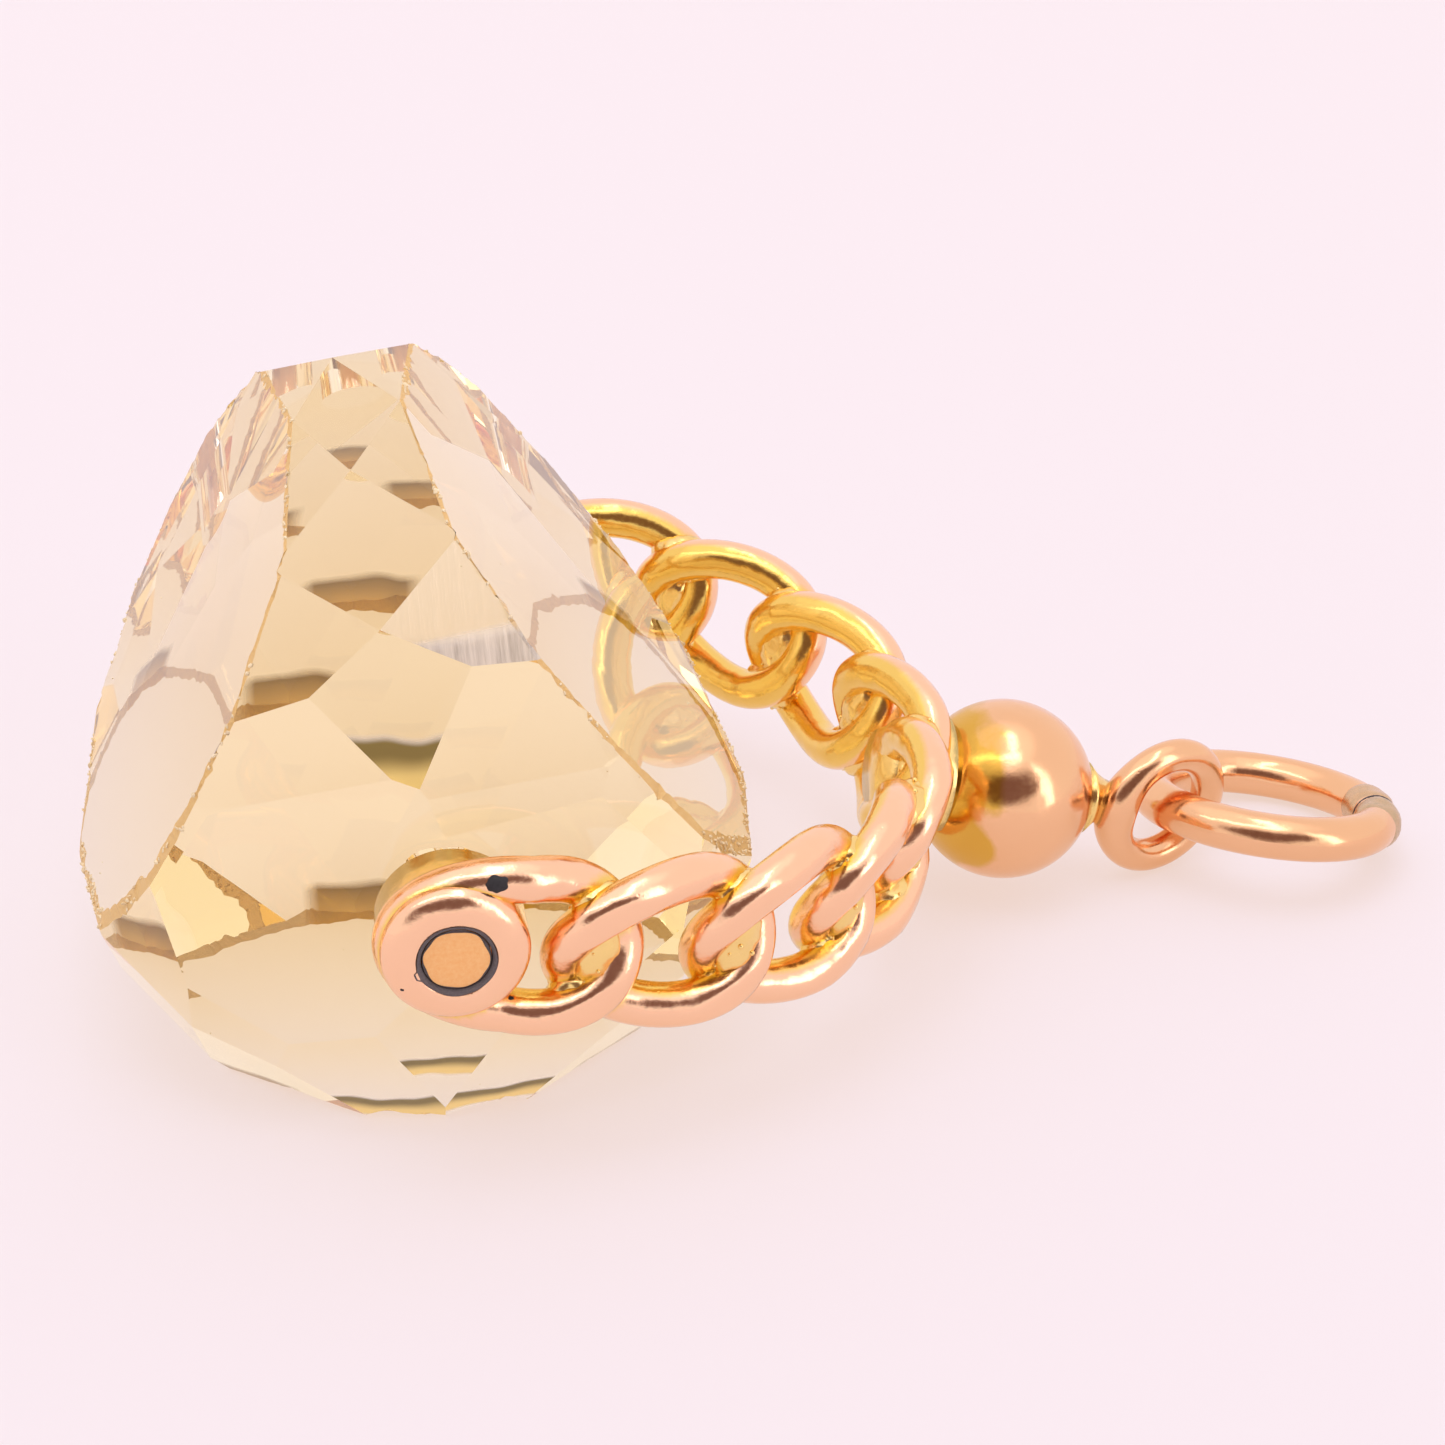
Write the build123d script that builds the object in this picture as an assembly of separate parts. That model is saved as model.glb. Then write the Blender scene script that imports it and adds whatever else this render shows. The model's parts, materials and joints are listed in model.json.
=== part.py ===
from build123d import *
import os
from math import asin, atan2, cos, degrees, hypot, pi, radians, sin

# Spinner fob lying on a flat surface. Millimetres, +Z up. The origin is on the surface under the
# middle of the pivot. The pivot runs along Y, and the bail, the ball and the ring lie towards +X.

# Stone
stone_half_length = 9.95
ridge_radius = 9.6
stone_shift_x = -0.25
stone_shift_z = -0.26

# Studs, bores and caps
stud_radius = 0.87
stud_depth_in_stone = 2.4
stud_recess = 0.06
running_clearance = 0.06
pocket_clearance = 0.03
end_play = 0.15
cap_radius = 1.88
cap_rim_round = 0.38
countersink_radius = 1.08
countersink_depth = 0.2

# Curb links of the bail
links_in_bail = 10
link_wire_radius = 0.67
link_height = 3.83
link_twist = 0.37
link_lap = 1.49
end_link_stretch = 0.35
near_link_place = 1.64
far_link_place = 3.3
arm_room = 0.57
apex_room = 4.6
bail_squareness = 2.08
wire_sides = 6
link_stations = 16
route_samples = 400
route_step = 0.05

# Ball, its solder and the loop
ball_radius = 2.6
ball_seat = 0.56
ball_droop = 0.4
solder_cup_radius = 1.35
solder_cup_length = 1.6
loop_mid_radius = 1.7
loop_wire_radius = 0.48
loop_gap_to_ball = 0.13
loop_solder_radius = 0.8
loop_turn = 22

# Loose jump ring
ring_mid_radius = 3.35
ring_wire_radius = 0.65
ring_lean_side = 13.4
ring_seat_gap = 0.5
ring_aside = 0.5

# Facet corners of one ridge: share of the half length, share of the ridge radius
ridge_corners = {
    "end": {"along": 1.0, "out": 0.36},
    "shoulder": {"along": 0.829, "out": 0.777},
    "crown": {"along": 0.357, "out": 1.0},
}
# Side corners of the two lozenges: share of the way between corners, sideways share of the radius
low_side = {"way": 0.70, "aside": 0.212}
high_side = {"way": 0.49, "aside": 0.255}
# Three ridges and the table on each side of them
ridges = {
    "top": {"turn": 97.5, "tables": ("right", "left")},
    "left": {"turn": 210.8, "tables": ("left", "bottom")},
    "right": {"turn": 330.7, "tables": ("bottom", "right")},
}
# Three tables: direction, distance and tip as shares, and the two ridges that they lie between
tables = {
    "right": {"turn": 36.6, "out": 0.639, "tip_along": 0.897, "tip_out": 0.592, "ends": ("top", "right")},
    "left": {"turn": 152.1, "out": 0.697, "tip_along": 0.871, "tip_out": 0.664, "ends": ("top", "left")},
    "bottom": {"turn": 270, "out": 0.735, "tip_along": 0.905, "tip_out": 0.69, "ends": ("left", "right")},
}

# Places that follow from the sizes above
pivot_height = tables["bottom"]["out"] * ridge_radius - stone_shift_z
wire_apothem = link_wire_radius * cos(pi / wire_sides)
link_half_thickness = link_twist + wire_apothem
arm_spread = stone_half_length + arm_room + link_half_thickness
cap_inner = stone_half_length + end_play
cap_outer = arm_spread + link_half_thickness
bore_radius = stud_radius + running_clearance
apex_reach = ridge_radius + apex_room
ball_reach = apex_reach + ball_seat + ball_radius
loop_outer_radius = loop_mid_radius + loop_wire_radius
loop_reach = ball_reach + ball_radius + loop_gap_to_ball + loop_outer_radius
tilt_reach = hypot(loop_reach, ball_droop)
bail_tilt = asin((pivot_height - loop_outer_radius) / tilt_reach) - atan2(ball_droop, loop_reach)


def toward(turn):
    """Unit vector at an angle round the pivot, from +X towards +Z."""
    return Vector(cos(radians(turn)), 0, sin(radians(turn)))


def aside(turn):
    """Unit vector square to toward(turn), on the clockwise side."""
    return Vector(sin(radians(turn)), 0, -cos(radians(turn)))


def along(share):
    """Step towards the near end by a share of the half length."""
    return Vector(0, -share * stone_half_length, 0)


def facet(a, b, c):
    """Plane through three corners, facing away from the middle of the stone."""
    normal = (b - a).cross(c - a).normalized()
    if normal.dot(a) < 0:
        normal = normal * -1
    return Plane(origin=a, z_dir=normal)


def meeting_point(first, second, third):
    """Point that three planes share."""
    n = [p.z_dir for p in (first, second, third)]
    d = [p.z_dir.dot(p.origin) for p in (first, second, third)]
    whole = n[0].dot(n[1].cross(n[2]))
    return (n[1].cross(n[2]) * d[0] + n[2].cross(n[0]) * d[1] + n[0].cross(n[1]) * d[2]) * (1 / whole)


def near_facets():
    """Facets of the near half: on each ridge two lozenges and their triangles, then the tips and the end."""
    middle = Plane(origin=(0, 0, 0), z_dir=(0, 1, 0))
    flats = {}
    tips = {}
    for name, t in tables.items():
        flats[name] = Plane(origin=toward(t["turn"]) * t["out"] * ridge_radius, z_dir=toward(t["turn"]))
        tips[name] = toward(t["turn"]) * t["tip_out"] * ridge_radius + along(t["tip_along"])
    found = []
    ends = {}
    for name, ridge in ridges.items():
        out = toward(ridge["turn"])
        corner = {k: out * c["out"] * ridge_radius + along(c["along"]) for k, c in ridge_corners.items()}
        ends[name] = corner["end"]
        band = Plane(origin=out * ridge_radius, z_dir=out)
        low = corner["end"] + (corner["shoulder"] - corner["end"]) * low_side["way"]
        high = corner["shoulder"] + (corner["crown"] - corner["shoulder"]) * high_side["way"]
        across = aside(ridge["turn"])
        found.append(band)
        found.append(facet(corner["end"], low + across, corner["shoulder"]))
        found.append(facet(corner["shoulder"], high + across, corner["crown"]))
        for side, table in zip((1, -1), ridge["tables"]):
            low_corner = low + across * side * low_side["aside"] * ridge_radius
            high_corner = high + across * side * high_side["aside"] * ridge_radius
            waist = meeting_point(band, flats[table], middle)
            found.append(facet(corner["shoulder"], low_corner, high_corner))
            found.append(facet(corner["end"], low_corner, tips[table]))
            found.append(facet(corner["crown"], high_corner, waist))
    for name, t in tables.items():
        first, second = t["ends"]
        found.append(facet(ends[first], ends[second], tips[name]))
        found.append(flats[name])
    found.append(Plane(origin=along(1.0), z_dir=(0, -1, 0)))
    return found


def cut_stone():
    """Three-sided prism cut with facets towards both ends, with a drilled pocket for each stud."""
    body = Box(4 * ridge_radius, 4 * stone_half_length, 4 * ridge_radius)
    for plane in near_facets():
        body = split(body, bisect_by=plane, keep=Keep.BOTTOM)
    far = body.mirror(Plane.XZ)
    body = body & far
    body = Pos(stone_shift_x, 0, pivot_height + stone_shift_z) * body
    pocket_radius = stud_radius + pocket_clearance
    for end in (-1, 1):
        place = Pos(0, end * stone_half_length, pivot_height) * Rot(90, 0, 0)
        body = body - place * Cylinder(pocket_radius, 2 * stud_depth_in_stone)
    return body


def stud(end):
    """Short pin fixed in the stone, which turns in the bore of a cap."""
    bottom = stone_half_length - stud_depth_in_stone + pocket_clearance
    top = cap_outer - stud_recess
    pin = Cylinder(stud_radius, top - bottom)
    return Pos(0, end * (bottom + top) / 2, pivot_height) * Rot(90, 0, 0) * pin


def bail_route():
    """Middle line of the near arm and the far arm in the plane of the bail, with its running length."""
    power = 2 / bail_squareness
    quarter = []
    for i in range(route_samples + 1):
        t = pi / 2 * i / route_samples
        quarter.append((apex_reach * sin(t) ** power, -arm_spread * max(cos(t), 0.0) ** power))
    line = quarter + [(x, -y) for x, y in reversed(quarter[:-1])]
    run = [0.0]
    for (ax, ay), (bx, by) in zip(line, line[1:]):
        run.append(run[-1] + hypot(bx - ax, by - ay))
    return line, run


def on_route(line, run, s):
    """Point, direction and outward direction at a length along the route, straight past its ends."""
    held = min(max(s, route_step), run[-1] - route_step)

    def point(q):
        i = 0
        while run[i + 1] < q:
            i += 1
        share = (q - run[i]) / (run[i + 1] - run[i])
        (ax, ay), (bx, by) = line[i], line[i + 1]
        return Vector(ax + (bx - ax) * share, ay + (by - ay) * share, 0)

    direction = (point(held + route_step) - point(held - route_step)).normalized()
    return point(held) + direction * (s - held), direction, Vector(direction.Y, -direction.X, 0)


def closed_tube(middle, outward):
    """Closed wire with flat sides, as one solid of triangles, round a loop of points."""
    count = len(middle)
    rings = []
    for i, centre in enumerate(middle):
        ahead = (middle[(i + 1) % count] - middle[i - 1]).normalized()
        first = (outward[i] - ahead * ahead.dot(outward[i])).normalized()
        second = ahead.cross(first)
        ring = []
        for k in range(wire_sides):
            turn = 2 * pi * (k + 0.5) / wire_sides
            ring.append(centre + (first * cos(turn) + second * sin(turn)) * link_wire_radius)
        rings.append(ring)
    faces = []
    for i in range(count):
        here, after = rings[i], rings[(i + 1) % count]
        for k in range(wire_sides):
            n = (k + 1) % wire_sides
            faces.append(Face(Wire.make_polygon([here[k], after[k], after[n]], close=True)))
            faces.append(Face(Wire.make_polygon([here[k], after[n], here[n]], close=True)))
    return Solid(Shell(faces))


def curb_link(line, run, place, length, flat_end):
    """Twisted oval link: its wires cross the next link's, and an end link lies flat under its cap."""
    middle = []
    outward = []
    for i in range(link_stations):
        q = 2 * pi * i / link_stations
        under_cap = round(cos(q), 6) * flat_end > 0
        twist = 0 if under_cap else link_twist
        half = length / 2 + (end_link_stretch if under_cap else 0)
        centre, _, out = on_route(line, run, place + half * cos(q))
        middle.append(centre - out * twist * sin(2 * q) + Vector(0, 0, link_height / 2 * sin(q)))
        outward.append(out)
    return closed_tube(middle, outward)


def end_cap(end):
    """Round cap soldered over an arm's end link, with a domed rim."""
    height = cap_outer - cap_inner
    cap = Cylinder(cap_radius, height)
    rim = cap.edges().filter_by(GeomType.CIRCLE).sort_by(Axis.Z)[-1]
    cap = fillet(rim, min(cap_rim_round, height / 3))
    return Pos(0, end * (cap_inner + cap_outer) / 2, 0) * Rot(-90 * end, 0, 0) * cap


def cap_bore(end):
    """Hole for the stud, a little wider at the outer face."""
    hole = Cylinder(bore_radius, 4 * (cap_outer - cap_inner))
    mouth = Cylinder(countersink_radius, 2 * countersink_depth)
    place = Pos(0, end * (cap_inner + cap_outer) / 2, 0) * Rot(90, 0, 0)
    return place * hole + Pos(0, end * cap_outer, 0) * Rot(90, 0, 0) * mouth


def lay_down(shape):
    """Turn the bail from its own plane to where it lies: pivot on the stone, loop on the surface."""
    return Pos(0, 0, pivot_height) * Rot(0, degrees(bail_tilt), 0) * shape


def curb_bail():
    """Links, caps, ball and loop, soldered into one rigid piece."""
    line, run = bail_route()
    pitch = (run[-1] - near_link_place - far_link_place) / (links_in_bail - 1)
    pieces = []
    for i in range(links_in_bail):
        flat_end = -1 if i == 0 else 1 if i == links_in_bail - 1 else 0
        place = near_link_place + i * pitch
        pieces.append(curb_link(line, run, place, pitch + link_lap, flat_end))
    for end in (-1, 1):
        pieces.append(end_cap(end))
    cup = Cylinder(solder_cup_radius, solder_cup_length)
    cup_middle = apex_reach + solder_cup_length / 2
    pieces.append(Pos(cup_middle, 0, -ball_droop / 2) * Rot(0, 90, 0) * cup)
    pieces.append(Pos(ball_reach, 0, -ball_droop) * Sphere(ball_radius))
    solder_length = loop_reach - loop_mid_radius - ball_reach
    solder = Cylinder(loop_solder_radius, solder_length)
    pieces.append(Pos(ball_reach + solder_length / 2, 0, -ball_droop) * Rot(0, 90, 0) * solder)
    loop = Rot(90, 0, 0) * Torus(loop_mid_radius, loop_wire_radius)
    pieces.append(Pos(loop_reach, 0, -ball_droop) * Rot(0, 0, loop_turn) * loop)
    bail = pieces[0].fuse(*pieces[1:])
    bail = bail - cap_bore(-1) - cap_bore(1)
    return lay_down(bail)


def jump_ring():
    """Loose ring through the loop: its far side rests on the surface, its left side on the loop."""
    hole_bottom = loop_outer_radius - (loop_mid_radius - loop_wire_radius)
    left_height = hole_bottom + ring_seat_gap + ring_wire_radius
    climb = (left_height - ring_wire_radius) / ring_mid_radius
    lean_y = sin(radians(ring_lean_side))
    lean_x = (climb**2 - lean_y**2) / (2 * climb)
    axis = Vector(lean_x, lean_y, (1 - lean_x**2 - lean_y**2) ** 0.5)
    to_loop = (Vector(-1, 0, 0) + axis * axis.X).normalized()
    left_x = loop_reach * cos(bail_tilt) - ball_droop * sin(bail_tilt)
    centre_x = left_x - to_loop.X * ring_mid_radius
    height = ring_mid_radius * hypot(lean_x, lean_y) + ring_wire_radius
    place = Plane(origin=(centre_x, ring_aside, height), z_dir=axis)
    return place * Torus(ring_mid_radius, ring_wire_radius)


nodes = {
    "stone": cut_stone(),
    "pivot_stud_near": stud(-1),
    "pivot_stud_far": stud(1),
    "curb_bail": curb_bail(),
    "jump_ring": jump_ring(),
}
os.makedirs("parts", exist_ok=True)
for name, shape in nodes.items():
    export_step(shape, os.path.join("parts", name + ".step"))
    box = shape.bounding_box()
    print(name, "from", box.min, "to", box.max)
print("pivot height", pivot_height, "tilt", degrees(bail_tilt), "arm spread", arm_spread)
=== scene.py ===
import json
from math import asin, atan2, cos, hypot, pi, radians, sin

import bmesh
import bpy
import numpy as np
from mathutils import Matrix, Vector, noise
from mathutils.bvhtree import BVHTree


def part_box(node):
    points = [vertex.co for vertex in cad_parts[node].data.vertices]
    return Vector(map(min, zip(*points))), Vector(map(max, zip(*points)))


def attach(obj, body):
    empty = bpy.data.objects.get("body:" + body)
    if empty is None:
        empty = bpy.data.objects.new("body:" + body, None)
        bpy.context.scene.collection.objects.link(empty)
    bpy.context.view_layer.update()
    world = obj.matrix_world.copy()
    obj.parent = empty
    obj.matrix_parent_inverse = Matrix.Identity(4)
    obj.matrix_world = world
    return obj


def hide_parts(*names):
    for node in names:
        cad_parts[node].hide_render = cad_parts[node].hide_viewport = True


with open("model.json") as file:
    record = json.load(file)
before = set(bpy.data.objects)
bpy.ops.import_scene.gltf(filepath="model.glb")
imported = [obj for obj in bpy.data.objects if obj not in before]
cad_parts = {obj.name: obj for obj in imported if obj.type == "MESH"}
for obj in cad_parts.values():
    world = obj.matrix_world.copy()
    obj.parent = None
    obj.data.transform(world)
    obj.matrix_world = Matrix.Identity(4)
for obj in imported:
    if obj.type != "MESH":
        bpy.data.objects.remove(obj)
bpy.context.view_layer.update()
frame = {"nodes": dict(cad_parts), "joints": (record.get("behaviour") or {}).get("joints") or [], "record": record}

# An antique spinner fob: a faceted citrine that turns between the capped ends of a curb-link bail of
# rose gold, with a ball, a loop and a loose ring. Lengths are metres, written as so many MM.
MM = 0.001

# The pivot, the ends of the caps and the lie of the bail
pivot = Vector(frame["joints"][0]["pos_m"])
stud_low, stud_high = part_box("pivot_stud_near")
stud_radius = (stud_high.x - stud_low.x) / 2
stud_recess = 0.06 * MM
cap_outer = -stud_low.y + stud_recess
cap_inner = -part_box("stone")[0].y + 0.15 * MM
cap_height = cap_outer - cap_inner
cap_radius = 1.88 * MM
cap_rim_round = 0.46 * MM
cap_rim_width = 0.66 * MM
bore_radius = stud_radius + 0.06 * MM
countersink_radius = 0.985 * MM
TURNED_SIDES = 96
GRIME_SIDES = 120

# Curb links of the bail
LINKS = 10
LINK_STATIONS = 72
WIRE_SIDES = 28
wire_radius = 0.595 * MM
worn_flat = 0.86 * MM
link_height = 3.83 * MM
link_twist = 0.42 * MM
link_lap = 1.49 * MM
end_link_stretch = 0.35 * MM
near_link_place = 1.64 * MM
far_link_place = 3.3 * MM
arm_spread = cap_outer - 0.95 * MM
apex_reach = 14.2 * MM
bail_squareness = 2.08

# Ball, loop and ring
ball_radius = 2.6 * MM
ball_reach = apex_reach + 0.56 * MM + ball_radius
ball_droop = 0.4 * MM
BALL_ROWS = 48
loop_mid_radius = 1.7 * MM
loop_wire_radius = 0.48 * MM
loop_outer_radius = loop_mid_radius + loop_wire_radius
loop_reach = ball_reach + ball_radius + 0.13 * MM + loop_outer_radius
loop_turn = 22
LOOP_STATIONS = 120
ring_mid_radius = 3.35 * MM
ring_wire_radius = 0.65 * MM
SEAM_STATIONS = 36
pivot_above_loop = pivot.z - loop_outer_radius
bail_tilt = asin(pivot_above_loop / hypot(loop_reach, ball_droop)) - atan2(ball_droop, loop_reach)
lie_down = Matrix.Translation((0, 0, pivot.z)) @ Matrix.Rotation(bail_tilt, 4, "Y")

# Chips along the borders of the long tables: the length of one and the mean width of the ground border
chip_step = 0.2 * MM
chip_width = 0.55 * MM
# Three places in the photo on the plane to which the facets beside the near pivot are ground
beside_cap = ((210, 815), (430, 804), (340, 1040))
# The marks that the stone's faces carry for its material, and the place in the photo of each marked facet.
# A painted bar, olive above and golden below, stands for a dark bar and gold glint mirrored inside the stone; it
# goes down from its top by its depth.
stone_marks = ("ground", "brushed", "bar_top", "bar_depth")
marked_facets = (
    ((500, 640), {"brushed": 1.0}),
    ((440, 1060), {"bar_top": 2.6 * MM, "bar_depth": 0.75 * MM}),
    ((370, 1090), {"bar_top": 1.15 * MM, "bar_depth": 0.8 * MM}),
    ((520, 1075), {"bar_top": 1.2 * MM, "bar_depth": 0.7 * MM}),
    ((405, 750), {"bar_top": 12.35 * MM, "bar_depth": 1.6 * MM}))
# Place in the photo and size of each speck of burnt flux
specks = (("speck_cap", (497, 884), 0.27 * MM), ("speck_joint", (511, 998), 0.07 * MM),
          ("speck_rim", (402, 990), 0.05 * MM))

# The camera stands where the photo was taken, 30 degrees above the surface and a little to the left
PHOTO_SIZE = 1445
focal_pixels = 3431
camera_eye = Vector((-4.95, -82.59, 54.64)) * MM
camera_right = Vector((0.9867, -0.1625, 0.0))
camera_up = Vector((0.0814, 0.4942, 0.8655))


def seen_at(across, down, surface):
    """The point, the normal and the face of a surface that the photo shows at a pixel."""
    ahead = camera_up.cross(camera_right)
    ray = (ahead * focal_pixels + camera_right * (across - PHOTO_SIZE / 2)
           - camera_up * (down - PHOTO_SIZE / 2))
    return surface.ray_cast(camera_eye, ray.normalized())[:3]


def colour(code):
    """An sRGB hex value as linear red, green, blue and alpha."""
    parts = [int(code[i:i + 2], 16) / 255 for i in (1, 3, 5)]
    return [p / 12.92 if p <= 0.04045 else ((p + 0.055) / 1.055) ** 2.4 for p in parts] + [1.0]


def add(tree, kind, *inputs, **settings):
    """One node with its settings and links. A kind in capitals is an operation of the Math node. Inputs go
    to the sockets in use, in order, and a last one that is a dictionary goes by name. Each is a value, a
    socket to link, or a node, which stands for its first output in use."""
    if kind.isupper():
        kind, settings = "ShaderNodeMath", {"operation": kind, **settings}
    node = tree.nodes.new(kind)
    for name, value in settings.items():
        setattr(node, name, value)
    *ordered, named = inputs if inputs and isinstance(inputs[-1], dict) else (*inputs, {})
    in_use = [socket for socket in node.inputs if socket.enabled]
    for socket, value in [*zip(in_use, ordered), *((node.inputs[name], named[name]) for name in named)]:
        if isinstance(value, bpy.types.Node):
            value = next(output for output in value.outputs if output.enabled)
        if isinstance(value, bpy.types.NodeSocket):
            tree.links.new(value, socket)
        else:
            socket.default_value = value
    return node


def new_material(name):
    """An empty node material, and its tree."""
    material = bpy.data.materials.new(name)
    material.use_nodes = True
    material.node_tree.nodes.clear()
    return material, material.node_tree


def set_only_material(obj, material):
    """Gives the piece or node one material."""
    obj.data.materials.clear()
    obj.data.materials.append(material)


def finish_piece(obj, body, slot, *nodes):
    """Puts a piece on its body and hides the nodes that it stands for. Its slot is not used."""
    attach(obj, body)
    if nodes:
        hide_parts(*nodes)
    return obj


def put(name, data):
    """A new object at the origin of the scene."""
    obj = bpy.data.objects.new(name, data)
    bpy.context.scene.collection.objects.link(obj)
    return obj


def piece_from(name, verts, faces, material, smooth=True):
    """A new mesh piece."""
    mesh = bpy.data.meshes.new(name)
    mesh.from_pydata([tuple(v) for v in verts], [], faces)
    mesh.validate()
    mesh.materials.append(material)
    mesh.polygons.foreach_set("use_smooth", [smooth] * len(mesh.polygons))
    return put(name, mesh)


def turn_outwards(obj):
    """Merges doubles and points all faces outwards."""
    bm = bmesh.new()
    bm.from_mesh(obj.data)
    bmesh.ops.remove_doubles(bm, verts=bm.verts, dist=0.001 * MM)
    bmesh.ops.recalc_face_normals(bm, faces=bm.faces)
    bm.to_mesh(obj.data)
    bm.free()
    return obj


def store_share(obj, name, values):
    """A number from 0 to 1 for each corner point of a piece, which its material reads by name."""
    kept = obj.data.attributes.new(name, "FLOAT", "POINT")
    kept.data.foreach_set("value", np.asarray(values, np.float32))


def smooth_share(value, low, high):
    """From 0 at low to 1 at high, eased at both ends."""
    t = np.clip((value - low) / (high - low), 0, 1)
    return t * t * (3 - 2 * t)


# Materials

def gold_alloy(name, tones, yellow, rough, worn):
    """Polished gold alloy. One attribute turns its tone to yellow in the joints and recesses, for soldering there
    and in part as a painted reflection of the gold around them, and the tarnish attribute dulls it. Its shine is
    broken by fine wear scratches and a few casting pits."""
    material, tree = new_material(name)
    place = add(tree, "ShaderNodeTexCoord").outputs["Object"]
    solder, tarnish = (add(tree, "ShaderNodeAttribute", attribute_name=share).outputs["Fac"]
                       for share in ("solder", "tarnish"))
    # Tone drifts over 3 mm, as on metal that was heated and pickled
    drift = add(tree, "ShaderNodeTexNoise", place, {"Scale": 1 / (3.0 * MM), "Detail": 3.0})
    base = add(tree, "ShaderNodeMix", drift, *map(colour, tones), data_type="RGBA")
    # Wear scratches and grain, 0.14 mm apart: finer on the real one, and coarser here so that they show
    fine = add(tree, "ShaderNodeTexNoise", place,
               {"Scale": 1 / (0.14 * MM), "Detail": 4.0, "Roughness": 0.65})
    # Both shares have ragged edges, broken by the grain
    ragged = add(tree, "MULTIPLY_ADD", fine, 0.35, solder)
    yellowness = add(tree, "ShaderNodeMapRange", ragged, 0.3, 0.85)
    patchy = add(tree, "MULTIPLY_ADD", fine, 0.6, tarnish)
    dull = add(tree, "ShaderNodeMapRange", patchy, 0.5, 1.2)
    tone = add(tree, "ShaderNodeMix", yellowness, base, colour(yellow), data_type="RGBA")
    tone = add(tree, "ShaderNodeMix", dull, tone, colour("#A9A285"), data_type="RGBA")
    # Hand polishing left the wire softly uneven over 0.9 mm, which makes the mirrored bands wander
    hollows = add(tree, "ShaderNodeTexNoise", place, {"Scale": 1 / (0.9 * MM), "Detail": 1.0})
    waves = add(tree, "ShaderNodeBump", {"Height": hollows, "Strength": worn, "Distance": 0.12 * MM})
    # Pits, 0.5 mm apart
    pits = add(tree, "ShaderNodeTexVoronoi", place, {"Scale": 1 / (0.5 * MM)})
    dots = add(tree, "ShaderNodeMapRange", pits, 0.0, 0.1, -1.0, 0.0)
    height = add(tree, "MULTIPLY_ADD", dots, 0.8, fine)
    bump = add(tree, "ShaderNodeBump", {"Height": height, "Strength": worn, "Distance": 0.01 * MM,
                                        "Normal": waves})
    gloss = add(tree, "ShaderNodeMapRange", fine, 0.3, 0.75, *rough)
    matte = add(tree, "MULTIPLY_ADD", dull, 0.25, gloss)
    shader = add(tree, "ShaderNodeBsdfPrincipled", {"Base Color": tone, "Metallic": 1.0, "Roughness": matte,
                                                    "Normal": bump})
    add(tree, "ShaderNodeOutputMaterial", {"Surface": shader})
    return material


def plain_tones(name, tones, grain, rough, metallic, depth):
    """A matte surface of two tones with a grain of that size in metres and a bump of that depth."""
    material, tree = new_material(name)
    place = add(tree, "ShaderNodeTexCoord").outputs["Object"]
    spots = add(tree, "ShaderNodeTexNoise", place, {"Scale": 1 / grain, "Detail": 5.0, "Roughness": 0.7})
    tone = add(tree, "ShaderNodeMix", spots, *map(colour, tones), data_type="RGBA")
    bump = add(tree, "ShaderNodeBump", {"Height": spots, "Strength": 0.6, "Distance": depth})
    shader = add(tree, "ShaderNodeBsdfPrincipled", {"Base Color": tone, "Metallic": metallic,
                                                    "Roughness": rough, "Normal": bump})
    add(tree, "ShaderNodeOutputMaterial", {"Surface": shader})
    return material


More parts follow.
